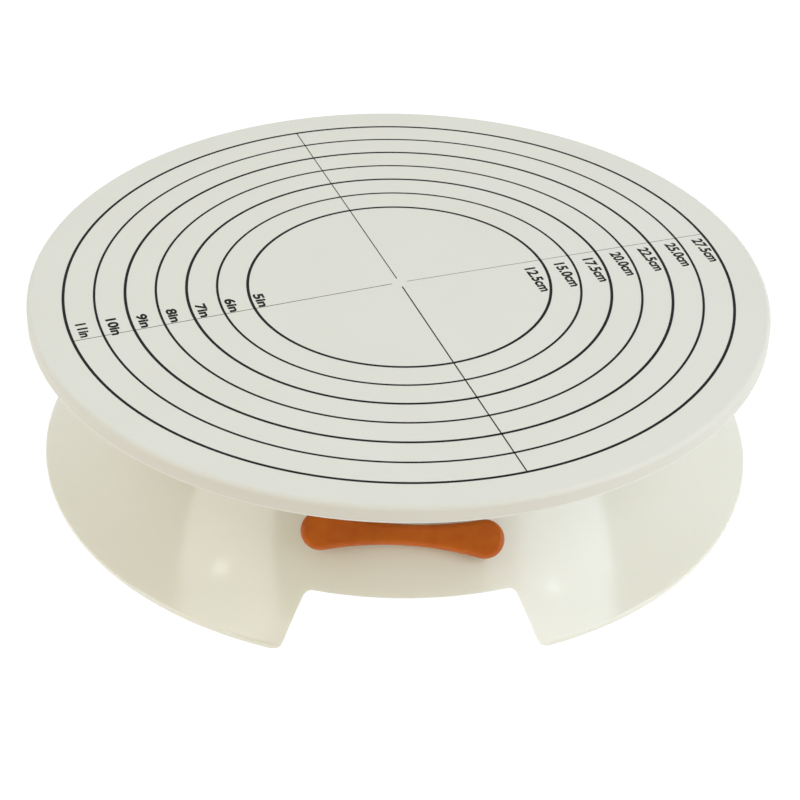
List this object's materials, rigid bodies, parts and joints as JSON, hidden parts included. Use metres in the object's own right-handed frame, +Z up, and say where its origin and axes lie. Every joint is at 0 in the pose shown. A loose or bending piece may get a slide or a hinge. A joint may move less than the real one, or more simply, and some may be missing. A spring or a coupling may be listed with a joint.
{
  "type": "cake turntable",
  "caption": "Round flat cake turntable with printed size rings on a flared plastic base, with a front finger notch and a rocker brake lever.",
  "frame": {"origin": "centre of the resting plane, under the rubber feet, on the turning axis", "axes": "+Z up along the turning axis; -Y points to the front, where the brake lever and the finger notch are; +X to the right seen from the front"},
  "size_m": [0.3046, 0.3046, 0.0771],
  "materials": {
    "plate_plastic": "satin moulded",
    "base_plastic": "glossy moulded",
    "amber_plastic": "glossy translucent",
    "grey_plastic": "matt moulded",
    "acetal": "natural",
    "steel": "zinc plated",
    "ball_steel": "polished",
    "brass": "turned",
    "rubber": "matt"
  },
  "bodies": {
    "base": {"base_shell": "base_plastic", "lower_race": "steel", "centre_bush": "acetal", "thrust_washer": "acetal", "rubber_feet": "rubber", "shoe_guide": "grey_plastic", "guide_screws": "steel", "pivot_bush": "acetal", "wave_washer": "steel"},
    "turntable": {"turntable_plate": "plate_plastic", "upper_race": "steel", "hub_insert": "brass", "retaining_washer": "steel", "retaining_screw": "steel"},
    "ball_set": {"ball_cage": "acetal", "bearing_balls": "ball_steel"},
    "lever": {"brake_lever": "amber_plastic", "lever_crank": "grey_plastic", "crank_pin": "steel", "crank_screw": "steel"},
    "shoe": {"shoe_carrier": "grey_plastic", "brake_pad": "rubber"}
  },
  "joints": [
    {"name": "turntable_spin", "type": "hinge", "parent": "base", "child": "turntable", "pos_m": [0, 0, 0.066], "axis": [0, 0, 1], "continuous": true},
    {"name": "ball_set_orbit", "type": "hinge", "parent": "base", "child": "ball_set", "pos_m": [0, 0, 0.06955], "axis": [0, 0, 1], "continuous": true},
    {"name": "lever_rock", "type": "hinge", "parent": "base", "child": "lever", "pos_m": [0, -0.099, 0.0345], "axis": [0, -1, 0], "range_deg": [0, 7]},
    {"name": "shoe_lift", "type": "slide", "parent": "base", "child": "shoe", "axis": [0, 0, 1], "range_m": [0, 0.00135]}
  ],
  "couplings": [
    {"joint": "ball_set_orbit", "follows": "turntable_spin", "ratio": 0.5},
    {"joint": "shoe_lift", "follows": "lever_rock", "m_per_rad": 0.011}
  ]
}
